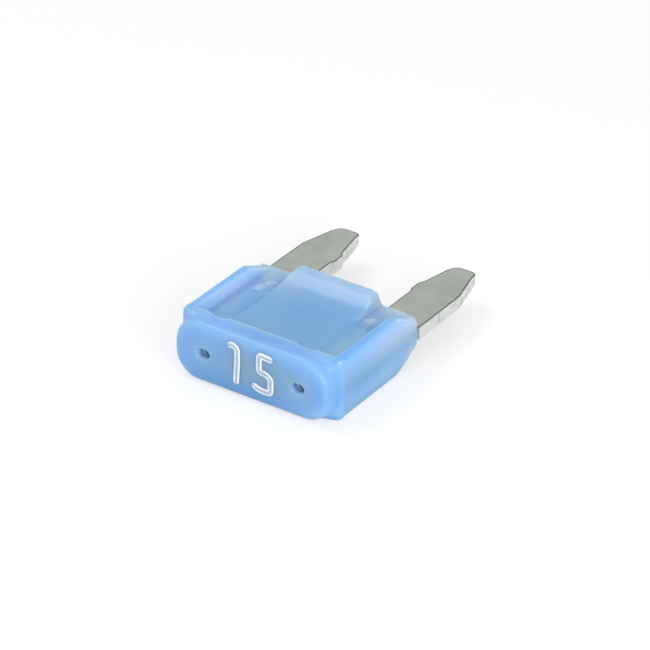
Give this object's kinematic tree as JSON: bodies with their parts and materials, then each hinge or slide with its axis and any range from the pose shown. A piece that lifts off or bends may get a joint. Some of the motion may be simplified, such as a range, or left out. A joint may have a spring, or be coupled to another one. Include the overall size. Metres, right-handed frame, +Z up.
{
  "type": "automotive blade fuse",
  "caption": "Miniature blade fuse for vehicles: translucent blue moulded housing with a flared window, round a stamped metal strip that ends in tapered plug-in blades.",
  "frame": {"origin": "on the surface that the fuse lies on, under the middle of its box", "axes": "+X across the blades, +Y from the head to the blade tips, +Z up through the thickness"},
  "size_m": [0.011, 0.0164, 0.0038],
  "materials": {
    "housing_plastic": "milky translucent light blue, satin gloss from the mould",
    "zinc_strip": "satin grey zinc with bright sheared edges"
  },
  "bodies": {
    "root": {"housing": "housing_plastic", "fuse_element": "zinc_strip"}
  },
  "joints": []
}
